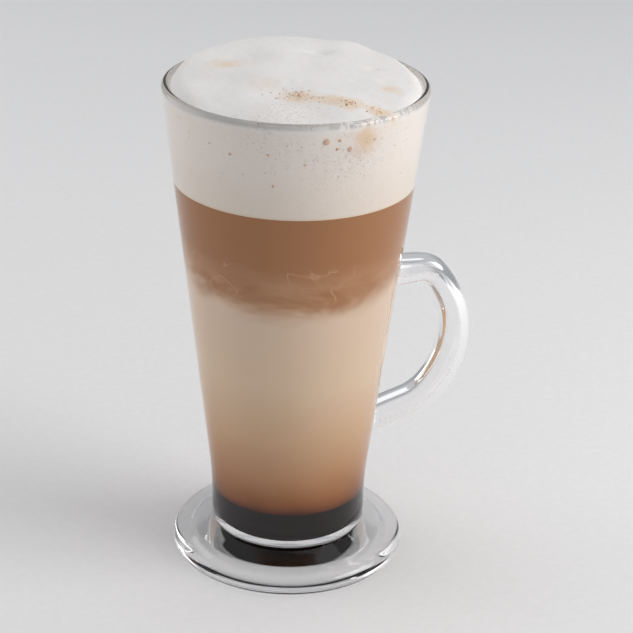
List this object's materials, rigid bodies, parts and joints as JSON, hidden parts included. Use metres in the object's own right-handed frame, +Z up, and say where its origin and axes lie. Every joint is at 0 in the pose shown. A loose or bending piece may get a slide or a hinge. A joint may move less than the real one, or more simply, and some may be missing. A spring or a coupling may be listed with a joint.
{
  "type": "layered latte in a footed glass",
  "caption": "Tall footed glass with a side handle, filled with a layered latte: dark base, milk, coffee and a domed milk foam.",
  "frame": {"origin": "centre of the ring that the foot stands on, on the axis of the glass", "axes": "+Z up along the axis of the glass, +X towards the handle, +Y across the handle's flat sides"},
  "size_m": [0.096, 0.076, 0.1524],
  "materials": {
    "glass": "clear, polished pressed glass",
    "syrup": "very dark brown liquid",
    "milk": "beige milky liquid, darker towards the bottom",
    "coffee": "milky brown coffee with pale wisps in its lower half",
    "foam": "off-white milk foam with fine pores and light brown dusting"
  },
  "bodies": {
    "root": {"glass": "glass", "syrup": "syrup", "milk": "milk", "coffee": "coffee", "foam": "foam"}
  },
  "joints": []
}
